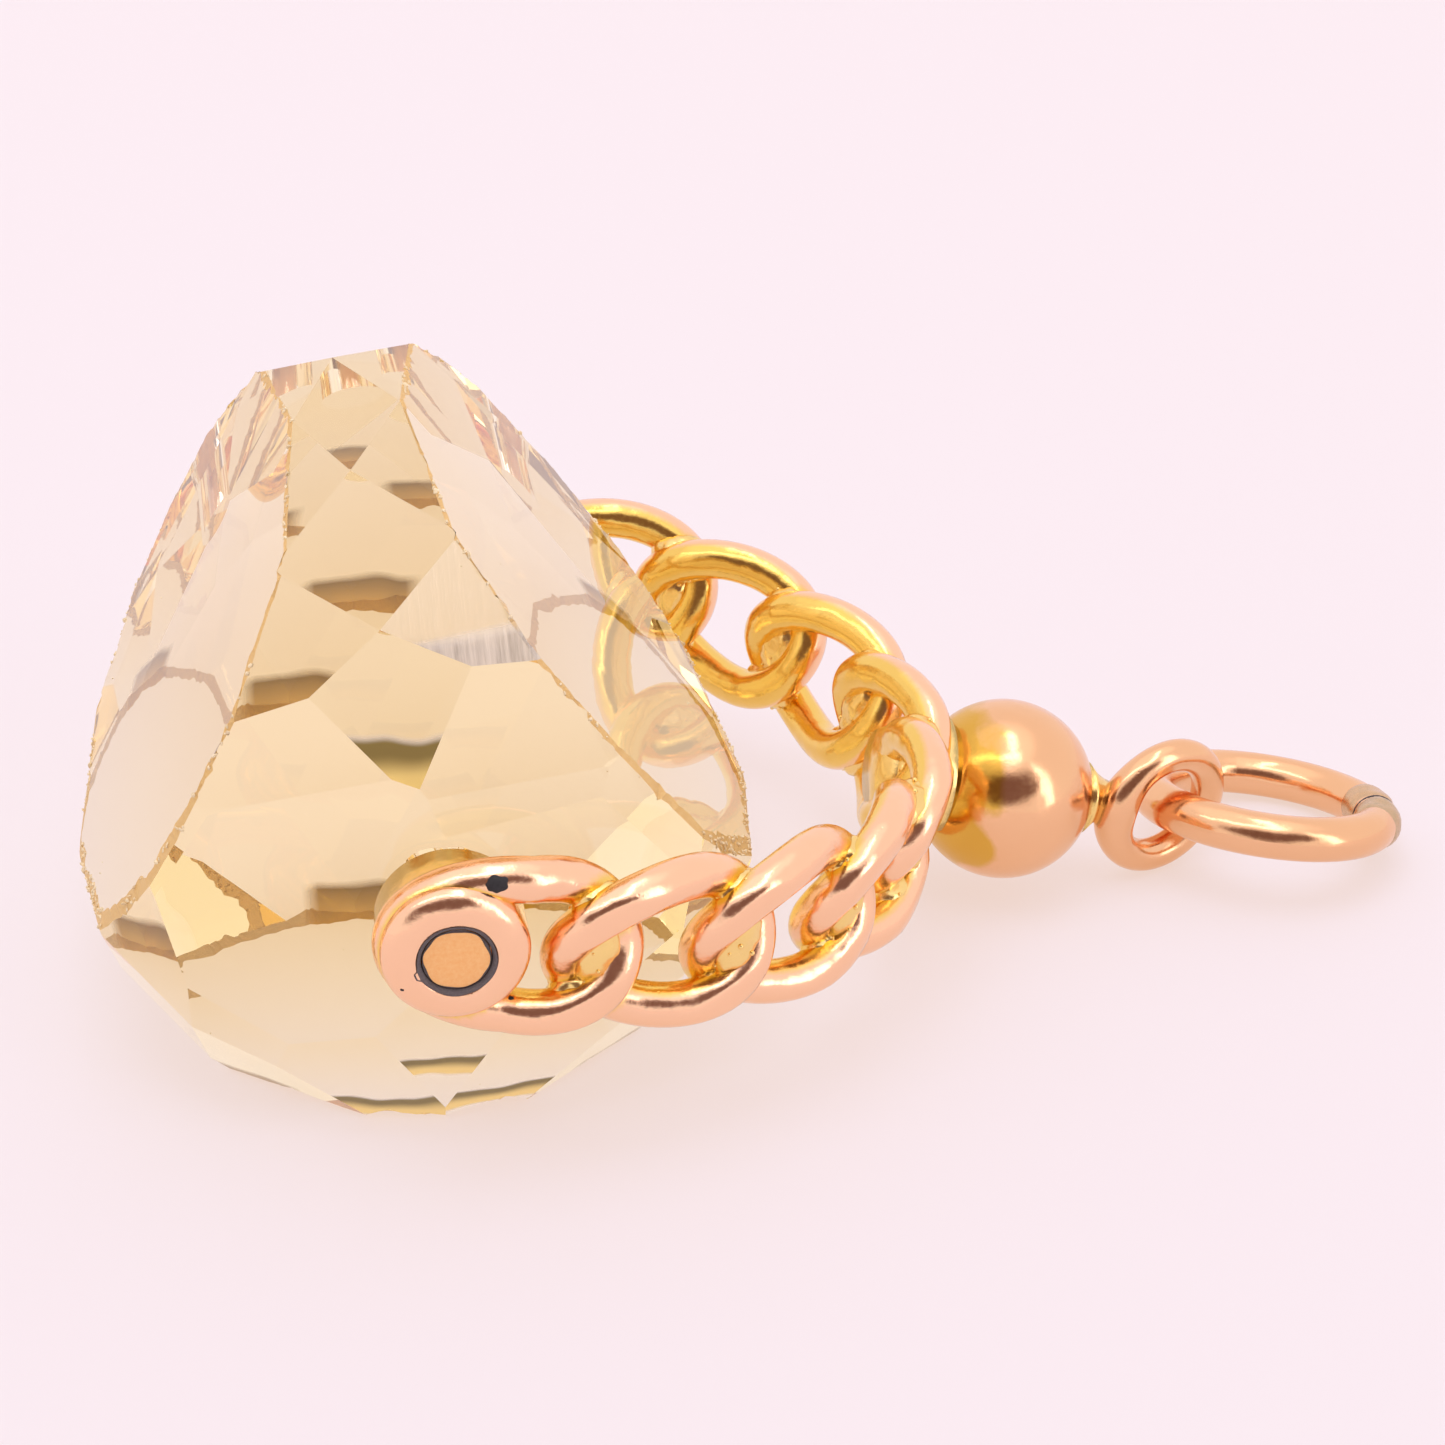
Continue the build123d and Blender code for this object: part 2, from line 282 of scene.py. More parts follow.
def cut_quartz():
    """Lemon citrine, a quartz: clear, with a straw tint that deepens where light travels far inside it.
    The ground mark is 1 on chipped and ground edges, which are sugary and sandy beige, the brushed mark is 1 on a
    facet that kept its grinding lines, with a painted silvery sheen, and the bar marks paint a bar across a facet,
    an olive image of a dark bar with a painted golden highlight."""
    material, tree = new_material("citrine_cut_and_polished")
    place = add(tree, "ShaderNodeTexCoord").outputs["Object"]
    axes = add(tree, "ShaderNodeSeparateXYZ", place).outputs
    ground, brushed, bar_top, bar_depth = (
        add(tree, "ShaderNodeAttribute", attribute_name=mark).outputs["Fac"] for mark in stone_marks)
    # Sugar grain of the ground edges, 0.09 mm
    sugar = add(tree, "ShaderNodeTexNoise", place,
                {"Scale": 1 / (0.09 * MM), "Detail": 5.0, "Roughness": 0.75})
    sandy = add(tree, "ShaderNodeMix", sugar, colour("#DBA858"), colour("#F2D394"), data_type="RGBA")
    tone = add(tree, "ShaderNodeMix", ground, colour("#FFFFFF"), sandy, data_type="RGBA")
    clear = add(tree, "ShaderNodeMapRange", ground, 0.25, 1.0, 1.0, 0.4)
    # Polished facets are a little wavy over 1.6 mm, which bends the bands inside the stone
    wave = add(tree, "ShaderNodeTexNoise", place, {"Scale": 1 / (1.6 * MM), "Detail": 1.0})
    height = add(tree, "MULTIPLY_ADD", wave, 0.5 * MM, axes["Z"])
    # A dark band 1 mm high on the foot of the far end, which the upper facets mirror as dark bars. It is olive
    # brown above and golden at the very foot, where the gold is a painted highlight.
    foot = add(tree, "ShaderNodeMapRange", height, 1.35 * MM, 1.1 * MM)
    at_end = add(tree, "ShaderNodeMapRange", axes["Y"], 7.5 * MM, 7.8 * MM)
    in_middle = add(tree, "ShaderNodeMapRange", add(tree, "ABSOLUTE", axes["X"]), 1.8 * MM, 1.3 * MM)
    soiled = add(tree, "MULTIPLY", add(tree, "MULTIPLY", foot, at_end), in_middle)
    thin = add(tree, "ShaderNodeMapRange", height, 1.1 * MM, 0.3 * MM)
    stain = add(tree, "ShaderNodeMix", thin, colour("#8A6E2C"), colour("#E6BC56"), data_type="RGBA")
    # Grinding lines down the brushed facet, 0.15 mm apart and 3 mm long, tinted silver-white and dark as a painted
    # sheen and reflection. They show most at its foot, where the painted sheen looks silvery.
    drawn_out = add(tree, "ShaderNodeMapping", place,
                    {"Scale": (1 / (0.15 * MM), 1 / (3 * MM), 1 / (3 * MM))})
    lines = add(tree, "ShaderNodeTexNoise", drawn_out, {"Scale": 1.0, "Detail": 4.0, "Roughness": 0.7})
    scratched = add(tree, "ShaderNodeMix", lines, colour("#5C4E3E"), colour("#FFF2E0"), data_type="RGBA")
    silver = add(tree, "ShaderNodeMapRange", axes["Z"], 14.15 * MM, 13.9 * MM, 0.12)
    silver = add(tree, "MULTIPLY", silver, brushed)
    # Olive bars that turn golden below, on a few facets of the near end: painted images of dark bars and gold
    # reflections mirrored inside the stone
    share = add(tree, "DIVIDE", add(tree, "SUBTRACT", bar_top, height), bar_depth)
    upper, lower, bright = (
        add(tree, "ShaderNodeMapRange", share, start, end, interpolation_type="SMOOTHSTEP")
        for start, end in ((0.0, 0.18), (1.05, 0.85), (0.3, 0.75)))
    bar = add(tree, "MULTIPLY", upper, lower)
    olive = add(tree, "ShaderNodeMix", bright, colour("#7A6A3C"), colour("#FFE08A"), data_type="RGBA")
    # Each of the three covers the clear stone with its own tone and veils it
    for cover, own_tone, veil in ((soiled, stain, 0.7), (silver, scratched, 0.8), (bar, olive, 0.75)):
        tone = add(tree, "ShaderNodeMix", cover, tone, own_tone, data_type="RGBA")
        clear = add(tree, "MULTIPLY_ADD", cover, -veil, clear, use_clamp=True)
    rough = add(tree, "MULTIPLY_ADD", ground, 0.55, add(tree, "MULTIPLY", brushed, 0.1))
    bump = add(tree, "ShaderNodeBump", {"Height": wave, "Strength": 0.06, "Distance": 0.05 * MM})
    for relief, strength, depth in ((sugar, ground, 0.035 * MM), (lines, brushed, 0.02 * MM)):
        bump = add(tree, "ShaderNodeBump", {"Height": relief, "Strength": strength, "Distance": depth,
                                            "Normal": bump})
    shader = add(tree, "ShaderNodeBsdfPrincipled", {"Base Color": tone, "Roughness": rough, "IOR": 1.55,
                                                    "Transmission Weight": clear, "Normal": bump})
    tint = add(tree, "ShaderNodeVolumeAbsorption", {"Color": colour("#FEF0B6"), "Density": 60.0})
    add(tree, "ShaderNodeOutputMaterial", {"Surface": shader, "Volume": tint})
    return material


# 9 ct rose gold, drawn wire polished with rouge: pink copper shine that mirrors its surroundings
rose_gold = gold_alloy("rose_gold_wire_polished", ("#FFD0A9", "#FACAA4"), "#F4CC6C", (0.1, 0.24), 0.6)
# The same alloy spun into a ball and bent into rings: browner and a little duller
ball_gold = gold_alloy("rose_gold_ball_burnished", ("#F5C395", "#EDB98B"), "#DFAE4C", (0.12, 0.24), 0.3)
# 15 ct yellow solder, run into the joints: buttery, brighter than the alloy and slightly grained
solder_gold = gold_alloy("yellow_gold_solder", ("#FBDF9A", "#F1CA74"), "#F8D684", (0.12, 0.3), 0.7)
# Copper-rich gold pin, sawn off flush and left matte: an orange disc with a soft grain
stud_gold = plain_tones("copper_gold_pin_sawn", ("#F3A758", "#FFD79A"), 0.12 * MM, 0.5, 0.6, 0.02 * MM)
# Old oil and polish packed in the gap round the pin: dull dark grey with paler grit
grime = plain_tones("dried_polish_in_bore", ("#40393B", "#7A7171"), 0.06 * MM, 0.8, 0.0, 0.03 * MM)
# A burnt speck of flux left on the wire: soot black
soot = plain_tones("burnt_flux", ("#0D0C0E", "#2A272B"), 0.08 * MM, 0.6, 0.0, 0.03 * MM)
# Crumbs of chipped quartz and dust: sandy and dull
quartz_grit = plain_tones("quartz_grit", ("#D2B67C", "#FBF0D4"), 0.07 * MM, 0.7, 0.0, 0.01 * MM)
citrine = cut_quartz()


# The bail's links and their solder, by Geometry Nodes

ROUTE_INPUTS = {"Links": "Int", "Reach": "Float", "Arm spread": "Float", "Squareness": "Float",
                "Near place": "Float", "Far place": "Float"}
LIE_INPUTS = {"Tilt": "Float", "Pivot height": "Float", "Material": "Material"}
MESH_OUTPUT = {"Geometry": "Geometry"}


def new_group(name, inputs, outputs):
    """A geometry node group with named inputs and outputs of the given kinds, and its inputs' sockets."""
    tree = bpy.data.node_groups.new(name, "GeometryNodeTree")
    for direction, named in (("INPUT", inputs), ("OUTPUT", outputs)):
        for title, kind in named.items():
            tree.interface.new_socket(title, in_out=direction, socket_type="NodeSocket" + kind)
    return tree, add(tree, "NodeGroupInput").outputs


def dress(tree, geometry, material):
    """Makes a tree's copies real, gives them their material and ends the tree."""
    real = add(tree, "GeometryNodeRealizeInstances", geometry)
    dressed = add(tree, "GeometryNodeSetMaterial", real, {"Material": material})
    add(tree, "NodeGroupOutput", {"Geometry": dressed})


def lie_and_dress(tree, geometry, ask):
    """Lays a piece of the bail down and gives it its metal."""
    turned = add(tree, "ShaderNodeCombineXYZ", {"Y": ask["Tilt"]})
    raised = add(tree, "ShaderNodeCombineXYZ", {"Z": ask["Pivot height"]})
    laid = add(tree, "GeometryNodeTransform", geometry, {"Translation": raised, "Rotation": turned})
    dress(tree, add(tree, "GeometryNodeSetShadeSmooth", laid, {"Shade Smooth": True}), ask["Material"])


def route_group():
    """The bail's route in its own plane: half of a rounded rectangle, from the near arm round to the far
    arm. It gives the curve and the step from one link to the next."""
    tree, ask = new_group("bail_route", ROUTE_INPUTS, {"Curve": "Geometry", "Pitch": "Float"})
    line = add(tree, "GeometryNodeCurvePrimitiveLine")
    fine = add(tree, "GeometryNodeResampleCurve", {"Curve": line, "Count": 600})
    turn = add(tree, "MULTIPLY", add(tree, "GeometryNodeSplineParameter"), pi)
    power = add(tree, "DIVIDE", 2.0, ask["Squareness"])
    sine, cosine = add(tree, "SINE", turn), add(tree, "COSINE", turn)
    ahead, aside = (add(tree, "POWER", add(tree, "ABSOLUTE", share), power) for share in (sine, cosine))
    reach = add(tree, "MULTIPLY", ask["Reach"], ahead)
    arm = add(tree, "MULTIPLY", ask["Arm spread"], add(tree, "SIGN", cosine))
    across = add(tree, "MULTIPLY", add(tree, "MULTIPLY", arm, aside), -1.0)
    spot = add(tree, "ShaderNodeCombineXYZ", reach, across)
    curve = add(tree, "GeometryNodeSetPosition", {"Geometry": fine, "Position": spot})
    whole = add(tree, "GeometryNodeCurveLength", curve)
    room = add(tree, "SUBTRACT", add(tree, "SUBTRACT", whole, ask["Near place"]), ask["Far place"])
    pitch = add(tree, "DIVIDE", room, add(tree, "SUBTRACT", ask["Links"], 1.0))
    add(tree, "NodeGroupOutput", {"Curve": curve, "Pitch": pitch})
    return tree


def station_group():
    """The place at a length along the route, with the directions ahead and outwards. Past its ends the
    route runs straight on."""
    tree, ask = new_group("place_on_route", {"Curve": "Geometry", "Length": "Float"},
                          {"Centre": "Vector", "Ahead": "Vector", "Out": "Vector"})
    whole = add(tree, "GeometryNodeCurveLength", ask["Curve"])
    held = add(tree, "MINIMUM", add(tree, "MAXIMUM", ask["Length"], 0.0), whole)
    sample = add(tree, "GeometryNodeSampleCurve", {"Curves": ask["Curve"], "Length": held}, mode="LENGTH")
    ahead = sample.outputs["Tangent"]
    past = add(tree, "SUBTRACT", ask["Length"], held)
    beyond = add(tree, "ShaderNodeVectorMath", ahead, past, operation="SCALE")
    centre = add(tree, "ShaderNodeVectorMath", sample.outputs["Position"], beyond, operation="ADD")
    out = add(tree, "ShaderNodeVectorMath", ahead, (0.0, 0.0, 1.0), operation="CROSS_PRODUCT")
    add(tree, "NodeGroupOutput", {"Centre": centre, "Ahead": ahead, "Out": out})
    return tree


the_route = route_group()
the_station = station_group()


def on_route(tree, ask):
    """The route in a tree, from that tree's inputs of the same names."""
    return add(tree, "GeometryNodeGroup", {name: ask[name] for name in ROUTE_INPUTS},
               node_tree=the_route).outputs


def count_off(tree, each):
    """Which group of so many points a point is in, and its number in that group."""
    index = add(tree, "GeometryNodeInputIndex")
    group = add(tree, "FLOOR", add(tree, "DIVIDE", add(tree, "ADD", index, 0.01), each))
    return group, add(tree, "SUBTRACT", index, add(tree, "MULTIPLY", group, each))


def link_tree():
    """Twisted oval links along the bail's route, each a round wire that lies over one neighbour and under
    the other. The outer faces are worn flat."""
    tree, ask = new_group("curb_links", {
        **ROUTE_INPUTS, "Stations": "Int", "Lap": "Float", "Stretch": "Float", "Height": "Float",
        "Twist": "Float", "Unevenness": "Float", "Wire radius": "Float", "Flat": "Float", "Seed": "Int",
        **LIE_INPUTS}, MESH_OUTPUT)
    route = on_route(tree, ask)
    pitch = route["Pitch"]

    # Each point's link and its turn round that link
    link, place_in_link = count_off(tree, ask["Stations"])
    turn = add(tree, "DIVIDE", add(tree, "MULTIPLY", place_in_link, 2 * pi), ask["Stations"])
    sine, cosine = add(tree, "SINE", turn), add(tree, "COSINE", turn)

    # The outer halves of the first and the last link reach under the caps and lie flat
    steps = add(tree, "SUBTRACT", ask["Links"], 1.0)
    on_first = add(tree, "LESS_THAN", link, 0.5)
    on_last = add(tree, "GREATER_THAN", link, add(tree, "SUBTRACT", steps, 0.5))
    first = add(tree, "MULTIPLY", on_first, add(tree, "LESS_THAN", cosine, -0.001))
    last = add(tree, "MULTIPLY", on_last, add(tree, "GREATER_THAN", cosine, 0.001))
    under_cap = add(tree, "ADD", first, last)

    # The link's centre line: along the route, up and down, and twisted out and in
    half = add(tree, "MULTIPLY", add(tree, "ADD", pitch, ask["Lap"]), 0.5)
    half = add(tree, "MULTIPLY_ADD", under_cap, ask["Stretch"], half)
    middle = add(tree, "MULTIPLY_ADD", link, pitch, ask["Near place"])
    along = add(tree, "MULTIPLY_ADD", half, cosine, middle)
    station = add(tree, "GeometryNodeGroup", {"Curve": route["Curve"], "Length": along},
                  node_tree=the_station).outputs
    centre, out = station["Centre"], station["Out"]
    odd = add(tree, "FunctionNodeRandomValue", -1.0, 1.0, link, ask["Seed"], data_type="FLOAT")
    uneven = add(tree, "MULTIPLY_ADD", odd, ask["Unevenness"], 1.0)
    height = add(tree, "MULTIPLY", add(tree, "MULTIPLY", ask["Height"], uneven), 0.5)
    up = add(tree, "ShaderNodeCombineXYZ", {"Z": add(tree, "MULTIPLY", height, sine)})
    sway = add(tree, "MULTIPLY", ask["Twist"], add(tree, "SUBTRACT", under_cap, 1.0))
    twist = add(tree, "MULTIPLY", add(tree, "SINE", add(tree, "MULTIPLY", turn, 2.0)), sway)
    aside = add(tree, "ShaderNodeVectorMath", out, twist, operation="SCALE")
    spot = add(tree, "ShaderNodeVectorMath", centre, aside, operation="ADD")
    spot = add(tree, "ShaderNodeVectorMath", spot, up, operation="ADD")

    # Points, then one closed curve for each link, then the wire
    points = add(tree, "GeometryNodePoints", {"Count": add(tree, "MULTIPLY", ask["Links"], ask["Stations"])})
    kept = add(tree, "GeometryNodeSetPosition", {"Geometry": points, "Position": spot})
    for name, kind, value in (("link", "FLOAT", link), ("out", "FLOAT_VECTOR", out),
                              ("arm_centre", "FLOAT_VECTOR", centre)):
        kept = add(tree, "GeometryNodeStoreNamedAttribute", kept, {"Name": name, "Value": value},
                   data_type=kind, domain="POINT")
    whose = add(tree, "GeometryNodeInputNamedAttribute", "link", data_type="FLOAT")
    curves = add(tree, "GeometryNodePointsToCurves", kept, whose)
    closed = add(tree, "GeometryNodeSetSplineCyclic", curves, {"Cyclic": True})
    section = add(tree, "GeometryNodeCurvePrimitiveCircle", WIRE_SIDES, ask["Wire radius"], mode="RADIUS")
    wire = add(tree, "GeometryNodeCurveToMesh", closed, section)

    # Worn flats: what stands out past the flat is pressed back towards the arm's middle
    stored_out, stored_centre = (add(tree, "GeometryNodeInputNamedAttribute", name, data_type="FLOAT_VECTOR")
                                 for name in ("out", "arm_centre"))
    here = add(tree, "GeometryNodeInputPosition")
    off = add(tree, "ShaderNodeVectorMath", here, stored_centre, operation="SUBTRACT")
    proud = add(tree, "ShaderNodeVectorMath", off, stored_out, operation="DOT_PRODUCT")
    excess = add(tree, "MAXIMUM", add(tree, "SUBTRACT", proud, ask["Flat"]), 0.0)
    back = add(tree, "MULTIPLY", excess, -0.6)
    pressed = add(tree, "ShaderNodeVectorMath", stored_out, back, operation="SCALE")
    worn = add(tree, "GeometryNodeSetPosition", {"Geometry": wire, "Offset": pressed})
    lie_and_dress(tree, worn, ask)
    return tree


def solder_tree():
    """Solder in each joint between neighbouring links: a blob at both crossings and a web in the gap
    between them, all lumpy, with loose granules."""
    tree, ask = new_group("link_solder", {
        **ROUTE_INPUTS, "Lap": "Float", "Height": "Float", "Blob along": "Float", "Blob across": "Float",
        "Web height": "Float", "Lumps": "Float", "Granule": "Float", "Density": "Float", "Seed": "Int",
        **LIE_INPUTS}, MESH_OUTPUT)
    route = on_route(tree, ask)
    pitch = route["Pitch"]

    # Three blobs in a joint, at -1, 0 and 1, of which the middle one is the web
    joint, number = count_off(tree, 3.0)
    side = add(tree, "SUBTRACT", number, 1.0)
    along = add(tree, "MULTIPLY_ADD", add(tree, "ADD", joint, 0.5), pitch, ask["Near place"])
    station = add(tree, "GeometryNodeGroup", {"Curve": route["Curve"], "Length": along},
                  node_tree=the_station).outputs
    reach = add(tree, "DIVIDE", pitch, add(tree, "ADD", pitch, ask["Lap"]))
    level = add(tree, "SQRT", add(tree, "SUBTRACT", 1.0, add(tree, "MULTIPLY", reach, reach)))
    half = add(tree, "MULTIPLY", ask["Height"], 0.5)
    rise = add(tree, "MULTIPLY", add(tree, "MULTIPLY", side, level), half)
    up = add(tree, "ShaderNodeCombineXYZ", {"Z": rise})
    spot = add(tree, "ShaderNodeVectorMath", station["Centre"], up, operation="ADD")
    count = add(tree, "MULTIPLY", add(tree, "SUBTRACT", ask["Links"], 1.0), 3.0)
    points = add(tree, "GeometryNodePoints", {"Count": count, "Position": spot})
    ball = add(tree, "GeometryNodeMeshIcoSphere", 1.0, 4)
    web = add(tree, "SUBTRACT", 1.0, add(tree, "ABSOLUTE", side))
    taller = add(tree, "SUBTRACT", ask["Web height"], ask["Blob across"])
    tall = add(tree, "MULTIPLY_ADD", web, taller, ask["Blob across"])
    long = add(tree, "MULTIPLY", ask["Blob along"], add(tree, "MULTIPLY_ADD", web, -0.25, 1.0))
    size = add(tree, "ShaderNodeCombineXYZ", long, ask["Blob across"], tall)
    vary = add(tree, "FunctionNodeRandomValue", 0.85, 1.1, {"Seed": ask["Seed"]}, data_type="FLOAT")
    varied = add(tree, "ShaderNodeVectorMath", size, vary, operation="SCALE")
    lie = add(tree, "FunctionNodeAlignRotationToVector", {"Vector": station["Ahead"]}, axis="X")
    blobs = add(tree, "GeometryNodeInstanceOnPoints", {"Points": points, "Instance": ball, "Rotation": lie,
                                                       "Scale": varied})
    solid = add(tree, "GeometryNodeRealizeInstances", blobs)

    # Lumps 0.45 mm across, and granules strewn on them
    lump = add(tree, "ShaderNodeTexNoise", {"Scale": 1 / (0.45 * MM), "Detail": 2.0})
    swell = add(tree, "MULTIPLY", add(tree, "SUBTRACT", lump, 0.5), ask["Lumps"])
    normal = add(tree, "GeometryNodeInputNormal")
    swollen = add(tree, "ShaderNodeVectorMath", normal, swell, operation="SCALE")
    lumpy = add(tree, "GeometryNodeSetPosition", {"Geometry": solid, "Offset": swollen})
    spots = add(tree, "GeometryNodeDistributePointsOnFaces", {"Mesh": lumpy, "Density": ask["Density"],
                                                              "Seed": ask["Seed"]})
    grain = add(tree, "GeometryNodeMeshIcoSphere", 1.0, 2)
    small = add(tree, "FunctionNodeRandomValue", 0.4, 1.0, {"Seed": ask["Seed"]}, data_type="FLOAT")
    size = add(tree, "MULTIPLY", small, ask["Granule"])
    granules = add(tree, "GeometryNodeInstanceOnPoints", {"Points": spots, "Instance": grain, "Scale": size})
    both = add(tree, "GeometryNodeJoinGeometry", lumpy)
    tree.links.new(granules.outputs[0], both.inputs[0])
    lie_and_dress(tree, both, ask)
    return tree


def made_by(tree, name, values, surface=None):
    """Runs a tree on a mesh, or on none, and keeps the result as a plain mesh piece."""
    start = put(name + "_start", surface or bpy.data.meshes.new(name + "_start"))
    modifier = start.modifiers.new(name, "NODES")
    modifier.node_group = tree
    for item in tree.interface.items_tree:
        if item.in_out == "INPUT" and item.name in values:
            modifier[item.identifier] = values[item.name]
    graph = bpy.context.evaluated_depsgraph_get()
    mesh = bpy.data.meshes.new_from_object(start.evaluated_get(graph), preserve_all_data_layers=True,
                                           depsgraph=graph)
    bpy.data.objects.remove(start)
    return put(name, mesh)


bail_values = {"Links": LINKS, "Reach": apex_reach, "Arm spread": arm_spread, "Squareness": bail_squareness,
               "Near place": near_link_place, "Far place": far_link_place, "Lap": link_lap,
               "Height": link_height, "Tilt": bail_tilt, "Pivot height": pivot.z}
links = made_by(link_tree(), "bail_links", {
    **bail_values, "Stations": LINK_STATIONS, "Stretch": end_link_stretch, "Twist": link_twist,
    "Unevenness": 0.015, "Wire radius": wire_radius, "Flat": worn_flat, "Seed": 4, "Material": rose_gold})
link_solder = made_by(solder_tree(), "link_solder", {
    **bail_values, "Blob along": 0.95 * MM, "Blob across": 0.68 * MM, "Web height": 1.15 * MM,
    "Lumps": 0.3 * MM, "Granule": 0.09 * MM, "Density": 2.5e6, "Seed": 7, "Material": solder_gold})


def read_all(items, name, width):
    """One property of all the items as rows of numbers."""
    values = np.empty(len(items) * width, np.float32)
    items.foreach_get(name, values)
    return values.reshape(-1, width)


def yellow_recesses(obj):
    """Stores how yellow the wire is: in the joints with the next links, inside each link's hole, on the side that
    faces the stone and round the caps, where soldering and rubbing left it yellow in part, and the rest is a
    painted reflection of the gold around it."""
    mesh = obj.data
    where = read_all(mesh.vertices, "co", 3)
    facing = read_all(mesh.vertex_normals, "vector", 3)
    whose = read_all(mesh.attributes["link"].data, "value", 1)[:, 0].round().astype(int)
    turn = np.array(Matrix.Rotation(bail_tilt, 3, "Y"))
    out = read_all(mesh.attributes["out"].data, "vector", 3) @ turn.T
    centre_line = where.reshape(-1, WIRE_SIDES, 3).mean(1)
    line_of = whose.reshape(-1, WIRE_SIDES)[:, 0]
    yellow = np.zeros(len(where))
    for link in range(LINKS):
        mine = whose == link
        spots = where[mine]
        others = centre_line[np.isin(line_of, (link - 1, link + 1))]
        gap = np.linalg.norm(spots[:, None] - others[None], axis=2).min(1) - wire_radius
        in_joint = 1 - smooth_share(gap, 0.0, 0.5 * MM)
        hole = spots.mean(0) - spots
        hole /= np.linalg.norm(hole, axis=1)[:, None]
        in_hole = 0.85 * smooth_share((facing[mine] * hole).sum(1), 0.35, 0.9)
        inside = 0.9 * smooth_share(-(facing[mine] * out[mine]).sum(1), 0.15, 0.75)
        from_axis = np.hypot(spots[:, 0], spots[:, 2] - pivot.z)
        by_cap = 1 - smooth_share(from_axis - cap_radius, -0.05 * MM, 0.12 * MM)
        by_cap *= np.abs(spots[:, 1]) > cap_inner
        yellow[mine] = np.max((in_joint, in_hole, inside, by_cap), axis=0)
    for name in ("link", "out", "arm_centre"):
        mesh.attributes.remove(mesh.attributes[name])
    store_share(obj, "solder", yellow)


yellow_recesses(links)
finish_piece(links, "bail", "rose_gold", "curb_bail")
finish_piece(link_solder, "bail", "rose_gold", "curb_bail")


# The caps, the studs, the ball, the loop and the ring

def turns(count):
    """The angles of a full turn in so many steps."""
    return [2 * pi * i / count for i in range(count)]


def turned_piece(name, profile, place, *materials, bands=None, sides=TURNED_SIDES, closed=False):
    """A piece turned on a lathe and put in place. Each ring of its profile is a radius and a height along
    Z, or a function that gives them for a turn, which makes it uneven. A zero radius is a pole. Bands gives
    the number of the material for each band between two rings."""
    verts, rows, faces, numbers = [], [], [], []
    for ring in profile:
        pole = not callable(ring) and ring[0] == 0
        spots = [ring(turn) if callable(ring) else ring for turn in turns(1 if pole else sides)]
        first = len(verts)
        rows.append([first] * sides if pole else list(range(first, first + sides)))
        verts += [place @ Vector((radius * cos(turn), radius * sin(turn), height))
                  for (radius, height), turn in zip(spots, turns(sides))]
    for band, (low, high) in enumerate(zip(rows, rows[1:] + rows[:1] if closed else rows[1:])):
        for i in range(sides):
            n = (i + 1) % sides
            face = [low[i], low[n], high[n], high[i]]
            face = [v for k, v in enumerate(face) if v != face[k - 1]]
            if len(face) > 2:
                faces.append(face)
                numbers.append(bands[band] if bands else 0)
    piece = piece_from(name, verts, faces, materials[0])
    for material in materials[1:]:
        piece.data.materials.append(material)
    piece.data.polygons.foreach_set("material_index", numbers)
    return turn_outwards(piece)


def cap_profile():
    """Half section of an end cap from its inner face: domed rim, flat face, then worn mouth and bore."""
    steps = 12
    rim = [(cap_radius - cap_rim_width * (1 - cos(a)), cap_height - cap_rim_round * (1 - sin(a)))
           for a in [pi / 2 * i / steps for i in range(steps + 1)]]
    return [(bore_radius, 0), (cap_radius - 0.08 * MM, 0), (cap_radius, 0.08 * MM), *rim,
            (countersink_radius + 0.05 * MM, cap_height - 0.001 * MM),
            (countersink_radius, cap_height - 0.05 * MM),
            (bore_radius + 0.02 * MM, cap_height - 0.25 * MM), (bore_radius, cap_height - 0.3 * MM)]


def uneven(turn, start, corners, depth):
    """A share near 1 that wanders round an edge with so many blunt corners."""
    wander = noise.noise(Vector((cos(turn), sin(turn), start)) * 2.2)
    return 1 + depth * (0.55 * cos(corners * turn + start) + 0.9 * wander)


def stud_piece(name, stand, start):
    """A pin whose sawn end is a blunt hexagon, in a collar of grime."""
    back, front = -stud_high.y - cap_inner, cap_height - stud_recess
    edge = stud_radius - 0.01 * MM

    def hexagon(wider, below):
        """The sawn end's uneven outline, wider and lower by so much."""
        return lambda turn: (0.95 * stud_radius * uneven(turn, start, 6, 0.045) + wider, front - below)

    profile = [(0, back), (edge, back), (edge, front - 0.05 * MM), hexagon(0.015 * MM, 0.04 * MM),
               hexagon(-0.01 * MM, 0.012 * MM), hexagon(-0.07 * MM, 0), (0, front)]
    piece = turned_piece(name, profile, stand, stud_gold, grime, bands=(0, 0, 1, 1, 0, 0))
    piece.data.set_sharp_from_angle(angle=radians(35))
    return piece


def grime_piece(name, stand, start, notch):
    """Grime in the mouth of a cap, clear of the pin, with an uneven outer edge and one notch."""
    def lip(wider, above):
        """The outer edge with its notch, wider and higher by so much."""
        def ring(turn):
            off = abs((turn - notch + pi) % (2 * pi) - pi)
            bulge = 0.1 * MM * (1 - smooth_share(off, radians(5), radians(9)))
            edge = countersink_radius * uneven(turn, start, 5, 0.018) + 0.02 * MM + bulge
            return edge + wider, cap_height + above
        return ring

    profile = [(stud_radius + 0.02 * MM, cap_height - 0.3 * MM),
               (stud_radius + 0.02 * MM, cap_height - 0.1 * MM),
               (stud_radius + 0.06 * MM, cap_height - 0.035 * MM),
               lip(-0.05 * MM, -0.004 * MM), lip(0, 0.012 * MM), lip(0.004 * MM, -0.02 * MM),
               (bore_radius + 0.03 * MM, cap_height - 0.3 * MM)]
    return turned_piece(name, profile, stand, grime, sides=GRIME_SIDES, closed=True)


